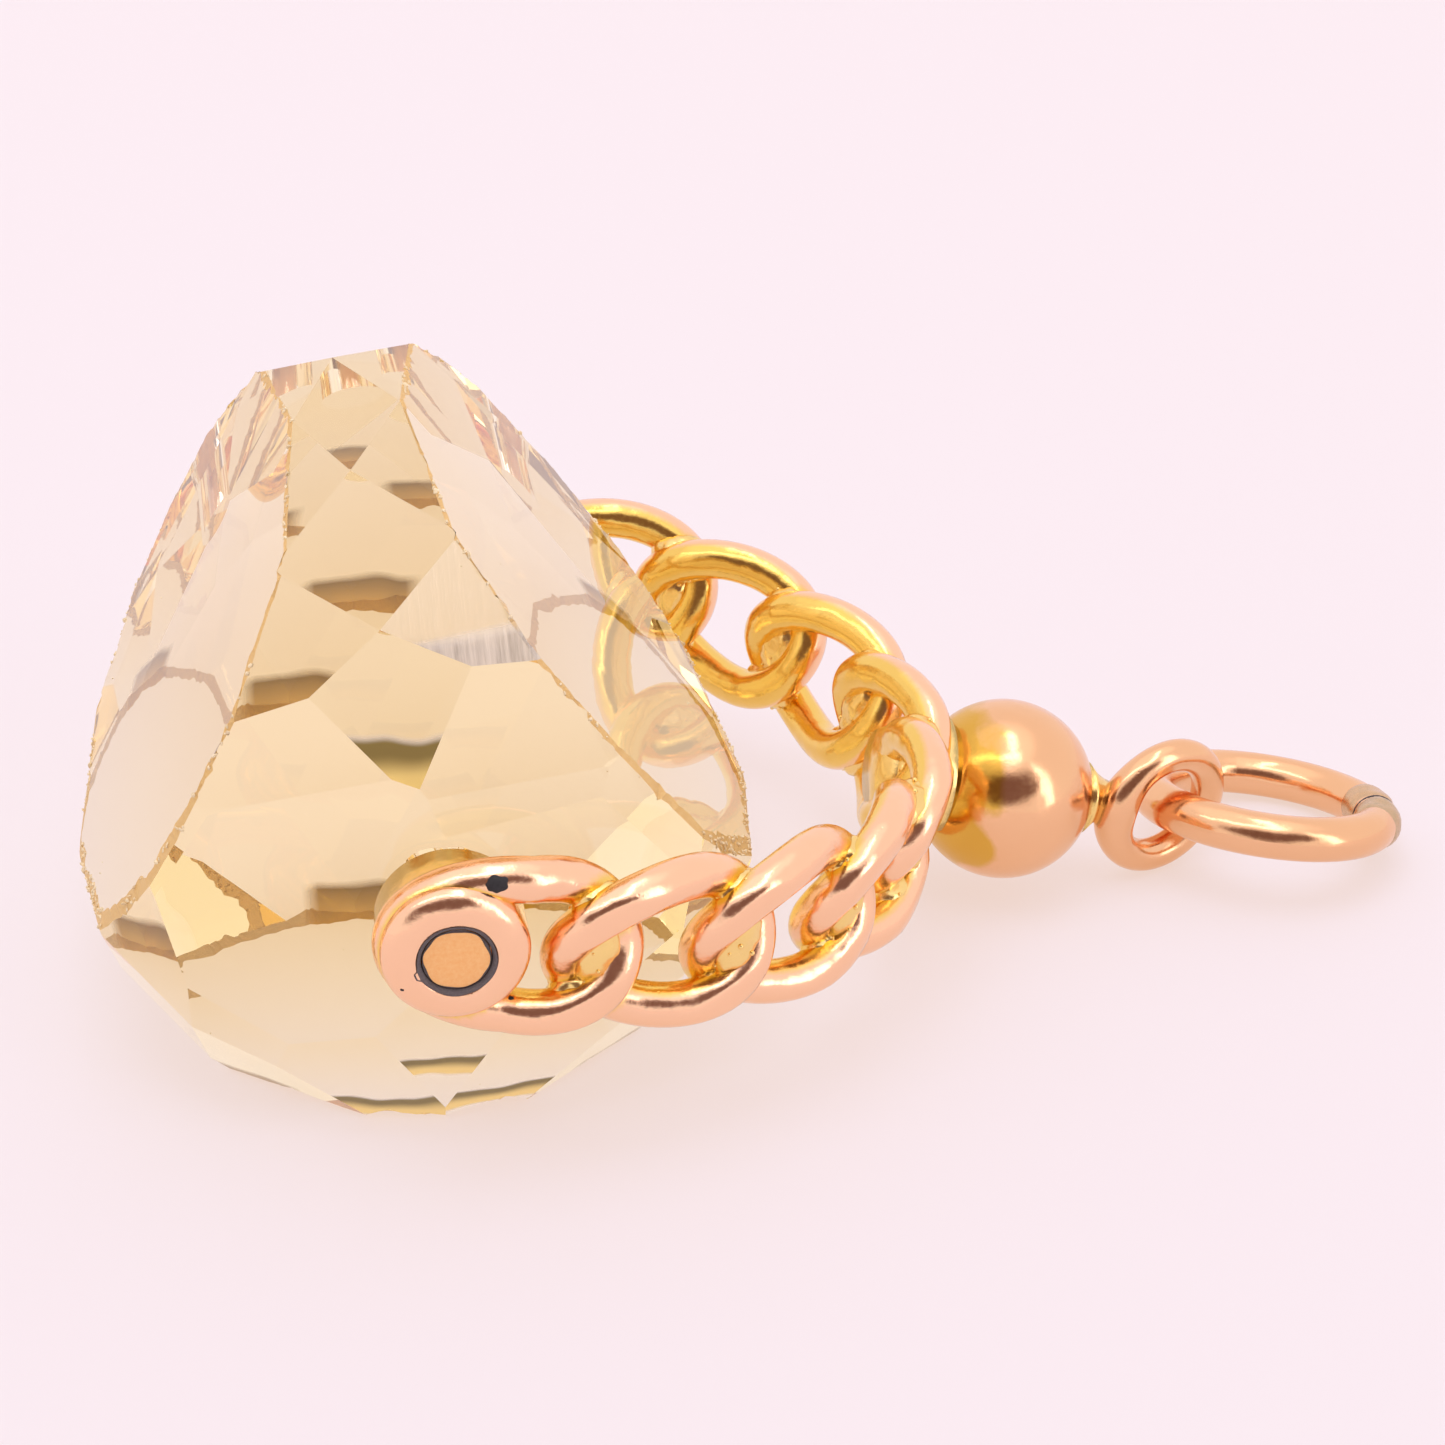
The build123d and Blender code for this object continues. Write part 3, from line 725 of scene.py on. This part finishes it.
for side, end, start in (("near", -1, 0.6), ("far", 1, 2.1)):
    stand = Matrix.Translation((0, end * cap_inner, 0)) @ Matrix.Rotation(-end * pi / 2, 4, "X")
    cap = turned_piece("cap_" + side, cap_profile(), lie_down @ stand, rose_gold, closed=True)
    # The cap's wall is yellow at its foot, where it was soldered to the link
    deep = [cap_outer - abs(v.co.y) for v in cap.data.vertices]
    wall = [hypot(v.co.x, v.co.z - pivot.z) > cap_radius - 0.2 * MM for v in cap.data.vertices]
    store_share(cap, "solder", smooth_share(np.array(deep), 0.9 * MM, 1.1 * MM) * np.array(wall))
    finish_piece(cap, "bail", "rose_gold", "curb_bail")
    cap_grime = grime_piece("cap_grime_" + side, lie_down @ stand, start, radians(212))
    finish_piece(cap_grime, "bail", "rose_gold")
    stud = stud_piece("stud_" + side, Matrix.Translation((0, 0, pivot.z)) @ stand, start)
    finish_piece(stud, "stone", "stud_copper_gold", "pivot_stud_" + side)


def out_along_bail(reach, droop):
    """The place of a turned piece whose axis points from the chain to the ball."""
    return lie_down @ Matrix.Translation((reach, 0, -droop)) @ Matrix.Rotation(pi / 2, 4, "Y")


ball_profile = [(0 if i in (0, BALL_ROWS) else ball_radius * sin(pi * i / BALL_ROWS),
                 -ball_radius * cos(pi * i / BALL_ROWS)) for i in range(BALL_ROWS + 1)]
ball_place = out_along_bail(ball_reach, ball_droop)
ball = turned_piece("ball", ball_profile, ball_place, ball_gold)
ball_middle = ball_place.to_translation()
chain_side = lie_down.to_3x3() @ Vector((-1, 0, 0))
from_chain = [(v.co - ball_middle).angle(chain_side) + 0.3 * noise.noise(v.co / (0.9 * MM))
              for v in ball.data.vertices]
# Yellow over the side of the ball that meets the chain: soldering spread on it, widened as a painted reflection of
# the chain
store_share(ball, "solder", 1 - smooth_share(np.array(from_chain), radians(56), radians(74)))
finish_piece(ball, "bail", "rose_gold", "curb_bail")

cup_profile = [(0, -0.9 * MM), (1.15 * MM, -0.8 * MM), (1.42 * MM, -0.2 * MM), (1.3 * MM, 0.35 * MM),
               (1.45 * MM, 0.8 * MM), (1.75 * MM, 1.15 * MM), (0, 1.6 * MM)]
cup = turned_piece("ball_solder", cup_profile, out_along_bail(apex_reach, ball_droop / 2), solder_gold)
finish_piece(cup, "bail", "rose_gold", "curb_bail")


def wire_piece(name, rows, material, closed=False):
    """A wire through rows of points round it. A closed one joins its ends, and an open one has flat ends."""
    sides = len(rows[0])
    faces = []
    for low in range(len(rows) if closed else len(rows) - 1):
        high = (low + 1) % len(rows)
        for k in range(sides):
            m = (k + 1) % sides
            faces.append([low * sides + k, high * sides + k, high * sides + m, low * sides + m])
    if not closed:
        faces += [[row * sides + k for k in range(sides)] for row in (0, len(rows) - 1)]
    return turn_outwards(piece_from(name, [point for row in rows for point in row], faces, material))


loop_place = (lie_down @ Matrix.Translation((loop_reach, 0, -ball_droop))
              @ Matrix.Rotation(radians(loop_turn), 4, "Z") @ Matrix.Rotation(pi / 2, 4, "X"))


def loop_row(a):
    """Points round the loop's wire at a turn of the loop. It swells where it is soldered to the ball."""
    radius = loop_wire_radius * (1 + 0.28 * max(0.0, -cos(a)) ** 6)
    reaches = [(loop_mid_radius + radius * cos(b), radius * sin(b)) for b in turns(WIRE_SIDES)]
    return [loop_place @ Vector((reach * cos(a), reach * sin(a), height)) for reach, height in reaches]


loop = wire_piece("loop", [loop_row(a) for a in turns(LOOP_STATIONS)], ball_gold, closed=True)
finish_piece(loop, "bail", "rose_gold", "curb_bail")

root_profile = [(0, -0.25 * MM), (1.05 * MM, -0.12 * MM), (0.8 * MM, 0.12 * MM), (0.62 * MM, 0.4 * MM),
                (0.5 * MM, 0.75 * MM), (0, 0.95 * MM)]
root_place = out_along_bail(ball_reach + ball_radius, ball_droop)
root = turned_piece("loop_solder", root_profile, root_place, solder_gold)
finish_piece(root, "bail", "rose_gold", "curb_bail")

# The jump ring keeps its solid; its closed ends are soldered and tarnished
set_only_material(frame["nodes"]["jump_ring"], ball_gold)
ring_mount = next(m for m in frame["record"]["mounts"] if m["name"] == "ring_loop")
ring_axis = Vector(ring_mount["axis"]).normalized()
ring_middle = sum(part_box("jump_ring"), Vector()) / 2
seam_way = (camera_right - ring_axis * camera_right.dot(ring_axis)).normalized()


def seam_row(share, low, high, swell):
    """Points round a lumpy sleeve on the ring's wire, at a share of the way from one turn to another, both
    in degrees from the seam."""
    turn = radians(low + (high - low) * share)
    way = seam_way * cos(turn) + ring_axis.cross(seam_way) * sin(turn)
    middle = ring_middle + way * ring_mid_radius
    closing = sin(pi * share) ** 0.35
    row = []
    for b in turns(WIRE_SIDES):
        out = way * cos(b) + ring_axis * sin(b)
        lump = noise.noise((middle + out * ring_wire_radius) / (0.5 * MM) + Vector((low, 0, 0)))
        reach = ring_wire_radius * (0.9 + 0.1 * closing) + swell * closing * (0.9 + 0.9 * lump)
        row.append(middle + out * reach)
    return row


# Name, the two turns from the seam in degrees, how far it stands out, its material and how tarnished it is
seams = (("ring_seam_front", -24, -0.8, 0.08 * MM, ball_gold, 0.6),
         ("ring_seam_nick", -2.5, 2.0, 0.015 * MM, soot, 0.0),
         ("ring_seam_back", 0.6, 22, 0.065 * MM, ball_gold, 0.5))
for name, low, high, swell, material, tarnished in seams:
    rows = [seam_row(i / SEAM_STATIONS, low, high, swell) for i in range(SEAM_STATIONS + 1)]
    seam = wire_piece(name, rows, material)
    store_share(seam, "tarnish", [tarnished] * len(seam.data.vertices))
    finish_piece(seam, "bail", "ring_gold")


def mesh_from(name, bm, material):
    """Turns a worked mesh into a plain one of one material and lets go of it."""
    mesh = bpy.data.meshes.new(name)
    bm.to_mesh(mesh)
    bm.free()
    mesh.materials.append(material)
    return mesh


def speck_piece(name, place, size, surface):
    """A flattened lump of burnt flux that sits on the metal where the photo shows it."""
    point, normal, face = seen_at(*place, surface)
    lie = Matrix.Translation(point) @ normal.to_track_quat("Z", "Y").to_matrix().to_4x4()
    bm = bmesh.new()
    bmesh.ops.create_icosphere(bm, subdivisions=4, radius=1.0)
    for vert in bm.verts:
        lump = 1 + 0.28 * noise.noise(vert.co * 1.6 + Vector((3, 1, 5)))
        across, along, up = vert.co
        vert.co = lie @ Vector((across * size * lump, along * size * 0.8 * lump, up * size * 0.35))
    mesh = mesh_from(name, bm, soot)
    mesh.polygons.foreach_set("use_smooth", [True] * len(mesh.polygons))
    return finish_piece(put(name, mesh), "bail", "rose_gold")


def surface_of(*objects):
    """A surface to cast rays on, made of whole pieces."""
    verts, faces = [], []
    for obj in objects:
        first = len(verts)
        verts += [v.co.copy() for v in obj.data.vertices]
        faces += [[first + v for v in face.vertices] for face in obj.data.polygons]
    return BVHTree.FromPolygons(verts, faces)


near_metal = surface_of(links, bpy.data.objects["cap_near"])
for name, place, size in specks:
    speck_piece(name, place, size, near_metal)


# The stone

def grind_beside_cap(bm):
    """Grinds the facets beside the near pivot a little deeper, the same on both sides of it: what lies
    past each plane is cut off and the cut is closed."""
    facets = BVHTree.FromBMesh(bm)
    corners = [seen_at(*place, facets)[0] for place in beside_cap]
    way = (corners[1] - corners[0]).cross(corners[2] - corners[0]).normalized()
    way *= -1 if way.y > 0 else 1
    for flip in (1, -1):
        mirror = Vector((flip, 1, 1))
        made = bmesh.ops.bisect_plane(bm, geom=bm.verts[:] + bm.edges[:] + bm.faces[:], dist=0.0005 * MM,
                                      plane_co=corners[0] * mirror, plane_no=way * mirror, clear_outer=True)
        rim = [edge for edge in made["geom_cut"] if isinstance(edge, bmesh.types.BMEdge)]
        bmesh.ops.edgeloop_fill(bm, edges=rim)
    bmesh.ops.remove_doubles(bm, verts=bm.verts, dist=0.1 * MM)


def edges_of(faces):
    """The edges of some faces, each once and in order, so that each run gives the same mesh."""
    return list(dict.fromkeys(edge for face in faces for edge in face.edges))


def chip_borders(bm, ground):
    """Gives the three long tables chipped and ground borders, which wander as small chips do."""
    tables = sorted(bm.faces, key=lambda face: -face.calc_area())[:3]
    planes = [(face.calc_center_median().copy(), face.normal.copy()) for face in tables]
    for edge in edges_of(tables):
        bmesh.ops.subdivide_edges(bm, edges=[edge], cuts=max(1, int(edge.calc_length() / chip_step)))
    bm.faces.ensure_lookup_table()
    tables = [face for face in bm.faces
              if any(abs((face.calc_center_median() - middle).dot(normal)) < 0.01 * MM
                     and face.normal.dot(normal) > 0.9999 for middle, normal in planes)]
    strips = bmesh.ops.bevel(bm, geom=edges_of(tables), offset=chip_width / 2, segments=1, affect="EDGES",
                             clamp_overlap=True)["faces"]
    for face in strips:
        face[ground] = 1.0
    # Each corner of a strip wanders in the plane of the one facet that it borders
    is_strip = set(strips)
    for vert in dict.fromkeys(v for face in strips for v in face.verts):
        flat = [face for face in vert.link_faces if face not in is_strip]
        if len(flat) != 1:
            continue
        away = flat[0].calc_center_median() - vert.co
        away -= flat[0].normal * away.dot(flat[0].normal)
        rough = noise.noise(vert.co / (0.6 * MM)) + 0.9 * noise.noise(vert.co / (0.23 * MM))
        wide = noise.noise(vert.co / (3.0 * MM) + Vector((7, 0, 0)))
        low = smooth_share(vert.co.z, 13 * MM, 7 * MM)
        vert.co += away.normalized() * chip_width * max(-0.4, -0.2 + 0.6 * low + 0.35 * rough + 0.3 * wide)


def polished_stone():
    """A copy of the cut stone, with its marked facets and the ground borders of its tables."""
    bm = bmesh.new()
    bm.from_mesh(frame["nodes"]["stone"].data)
    for mark in stone_marks:
        bm.faces.layers.float.new(mark)
    marks = {mark: bm.faces.layers.float[mark] for mark in stone_marks}
    bmesh.ops.remove_doubles(bm, verts=bm.verts, dist=0.002 * MM)
    bmesh.ops.dissolve_limit(bm, angle_limit=radians(0.5), verts=bm.verts, edges=bm.edges)
    grind_beside_cap(bm)
    facets = BVHTree.FromBMesh(bm)
    bm.faces.ensure_lookup_table()
    for place, values in marked_facets:
        face = bm.faces[seen_at(*place, facets)[2]]
        for mark, value in values.items():
            face[marks[mark]] = value
    chip_borders(bm, marks["ground"])
    bmesh.ops.recalc_face_normals(bm, faces=bm.faces)
    return put("cut_stone", mesh_from("cut_stone", bm, citrine))


def crumb_tree():
    """Angular crumbs strewn in clumps on a surface and half sunk in it, turned at random."""
    tree, ask = new_group("crumbs", {"Surface": "Geometry", "Density": "Float", "Crumb": "Float",
                                     "Seed": "Int", "Material": "Material"}, MESH_OUTPUT)
    seed = {"Seed": ask["Seed"]}
    # Clumps, 2.2 mm apart
    clumps = add(tree, "ShaderNodeTexNoise", {"Scale": 1 / (2.2 * MM), "Detail": 1.0})
    thick = add(tree, "ShaderNodeMapRange", clumps, 0.42, 0.62)
    density = add(tree, "MULTIPLY", thick, ask["Density"])
    points = add(tree, "GeometryNodeDistributePointsOnFaces", ask["Surface"], {"Density": density, **seed})
    crumb = add(tree, "GeometryNodeMeshIcoSphere", 1.0, 1)
    turn, shape = (add(tree, "FunctionNodeRandomValue", least, most, seed, data_type="FLOAT_VECTOR")
                   for least, most in (((0.0, 0.0, 0.0), (2 * pi, 2 * pi, 2 * pi)),
                                       ((0.3, 0.3, 0.2), (1.2, 0.9, 0.5))))
    size = add(tree, "ShaderNodeVectorMath", shape, ask["Crumb"], operation="SCALE")
    strewn = add(tree, "GeometryNodeInstanceOnPoints", {"Points": points, "Instance": crumb,
                                                        "Rotation": turn, "Scale": size})
    dress(tree, strewn, ask["Material"])
    return tree


def part_of(name, obj, wanted):
    """A mesh of the faces of a piece that pass a test."""
    mesh = bpy.data.meshes.new(name)
    mesh.from_pydata([v.co for v in obj.data.vertices], [],
                     [list(face.vertices) for face in obj.data.polygons if wanted(face)])
    return mesh


cut_stone = finish_piece(polished_stone(), "stone", "citrine", "stone")
is_ground = [mark.value > 0.9 for mark in cut_stone.data.attributes["ground"].data]
crumbs = crumb_tree()
# Which faces have grit on them, how many crumbs there are to the square metre, their size and their seed
grit = (("border_crumbs", lambda face: is_ground[face.index] and face.center.z > 0.4 * MM, 2.6e7,
         0.1 * MM, 3),
        ("stone_dust", lambda face: not is_ground[face.index], 6e4, 0.035 * MM, 11))
for name, wanted, density, size, seed in grit:
    values = {"Density": density, "Crumb": size, "Seed": seed, "Material": quartz_grit}
    strewn = made_by(crumbs, name, values, part_of(name + "_surface", cut_stone, wanted))
    finish_piece(strewn, "stone", "citrine")


# Stage, light and camera

def stage():
    """Opal panel that the fob lies on. It glows warm under a cool matte face, so that shadows stay faint
    and turn warm, as they do beside gold. The lower table of the stone sits on it with no film of air."""
    half = 1.5
    low = 0.004 * MM
    corners = [(-half, -half, low), (half, -half, low), (half, half, low), (-half, half, low)]
    floor = piece_from("floor", corners, [[0, 1, 2, 3]], None, smooth=False)
    material, tree = new_material("opal_panel")
    shader = add(tree, "ShaderNodeBsdfPrincipled", {"Base Color": colour("#6E7B94"), "Roughness": 0.85,
                                                    "Emission Color": colour("#FFE5D7"),
                                                    "Emission Strength": 0.74})
    add(tree, "ShaderNodeOutputMaterial", {"Surface": shader})
    set_only_material(floor, material)


def light():
    """Soft white tent: bright overhead with a bent tube lamp, a dark opening on the side of the camera and
    a bright window strip to the right of it. They are what the stone and the polished metal mirror."""
    world = bpy.data.worlds.new("tent")
    bpy.context.scene.world = world
    world.use_nodes = True
    tree = world.node_tree
    tree.nodes.clear()
    axes = add(tree, "ShaderNodeSeparateXYZ", add(tree, "ShaderNodeTexCoord").outputs["Generated"]).outputs
    height = add(tree, "ARCSINE", axes["Z"])
    # Turn about Z from the side of the camera, positive to the right
    turn = add(tree, "ARCTAN2", axes["X"], add(tree, "MULTIPLY", axes["Y"], -1.0))

    def patch(middle, half, soft):
        """1 in an oval of the sky given in degrees of turn and height, falling to 0 over its soft edge."""
        across, along = (
            add(tree, "DIVIDE", add(tree, "SUBTRACT", angle, radians(centre)), radians(reach))
            for angle, centre, reach in zip((turn, height), middle, half))
        squares = (add(tree, "MULTIPLY", side, side) for side in (across, along))
        reach = add(tree, "SQRT", add(tree, "ADD", *squares))
        return add(tree, "ShaderNodeMapRange", reach, 1 + soft, 1 - soft, interpolation_type="SMOOTHSTEP")

    # Where a line of sight meets a flat ceiling, in shares of its height
    over = add(tree, "MAXIMUM", axes["Z"], 0.05)
    ceiling = add(tree, "ShaderNodeCombineXYZ", *(add(tree, "DIVIDE", axes[axis], over) for axis in "XY"))

    def tube(start, end, half):
        """1 on a straight lamp on the ceiling between two places, falling to 0 past its half width."""
        run = (end[0] - start[0], end[1] - start[1], 0.0)
        off = add(tree, "ShaderNodeVectorMath", ceiling, (*start, 0.0), operation="SUBTRACT")
        along = add(tree, "ShaderNodeVectorMath", off, run, operation="DOT_PRODUCT")
        share = add(tree, "MULTIPLY", along, 1 / (run[0] ** 2 + run[1] ** 2), use_clamp=True)
        nearest = add(tree, "ShaderNodeVectorMath", run, share, operation="SCALE")
        apart = add(tree, "ShaderNodeVectorMath", off, nearest, operation="SUBTRACT")
        reach = add(tree, "ShaderNodeVectorMath", apart, operation="LENGTH")
        return add(tree, "ShaderNodeMapRange", reach, 1.4 * half, 0.6 * half,
                   interpolation_type="SMOOTHSTEP")

    overhead = add(tree, "ShaderNodeMapRange", height, radians(50), radians(62), 1.05, 1.3,
                   interpolation_type="SMOOTHSTEP")
    corner = (0.15, -0.42)
    tubes = add(tree, "MAXIMUM", tube((-0.93, -0.11), corner, 0.06), tube(corner, (0.13, 0.23), 0.07))
    lamps = add(tree, "MULTIPLY_ADD", tubes, 2.6, overhead)
    window = add(tree, "MULTIPLY_ADD", patch((47, 16), (8, 32), 0.4), 2.0, lamps)
    opening = patch((-8, 31), (46, 21), 0.2)
    tone = add(tree, "ShaderNodeMix", opening, colour("#FFF6FA"), colour("#7E625E"), data_type="RGBA")
    strength = add(tree, "ShaderNodeMix", opening, window, 1.0, data_type="FLOAT")
    glow = add(tree, "ShaderNodeBackground", {"Color": tone, "Strength": strength})
    add(tree, "ShaderNodeOutputWorld", {"Surface": glow})


def softbox():
    """A soft rectangular lamp overhead, which the metal doesn't mirror."""
    data = bpy.data.lights.new("top_softbox", "AREA")
    data.shape = "RECTANGLE"
    data.size, data.size_y = 0.12, 0.1
    data.energy = 0.14
    obj = put("top_softbox", data)
    obj.location = (-0.05, -0.02, 0.3)
    aim = Vector((0.005, 0, 0))
    obj.rotation_euler = (aim - obj.location).to_track_quat("-Z", "Y").to_euler()
    obj.visible_glossy = False


def camera():
    """Camera with a long lens at the photo's place."""
    data = bpy.data.cameras.new("camera")
    data.sensor_width = 36.0
    data.lens = focal_pixels / PHOTO_SIZE * data.sensor_width
    data.clip_start = 1 * MM
    data.clip_end = 10.0
    obj = put("camera", data)
    axes = Matrix((camera_right, camera_up, camera_right.cross(camera_up))).transposed()
    obj.matrix_world = Matrix.Translation(camera_eye) @ axes.to_4x4()
    bpy.context.scene.camera = obj


stage()
light()
softbox()
camera()
bpy.context.scene.view_settings.view_transform = "Standard"
# Light is mirrored inside the stone up to this often before it comes out
bpy.context.scene.cycles.glossy_bounces = 10
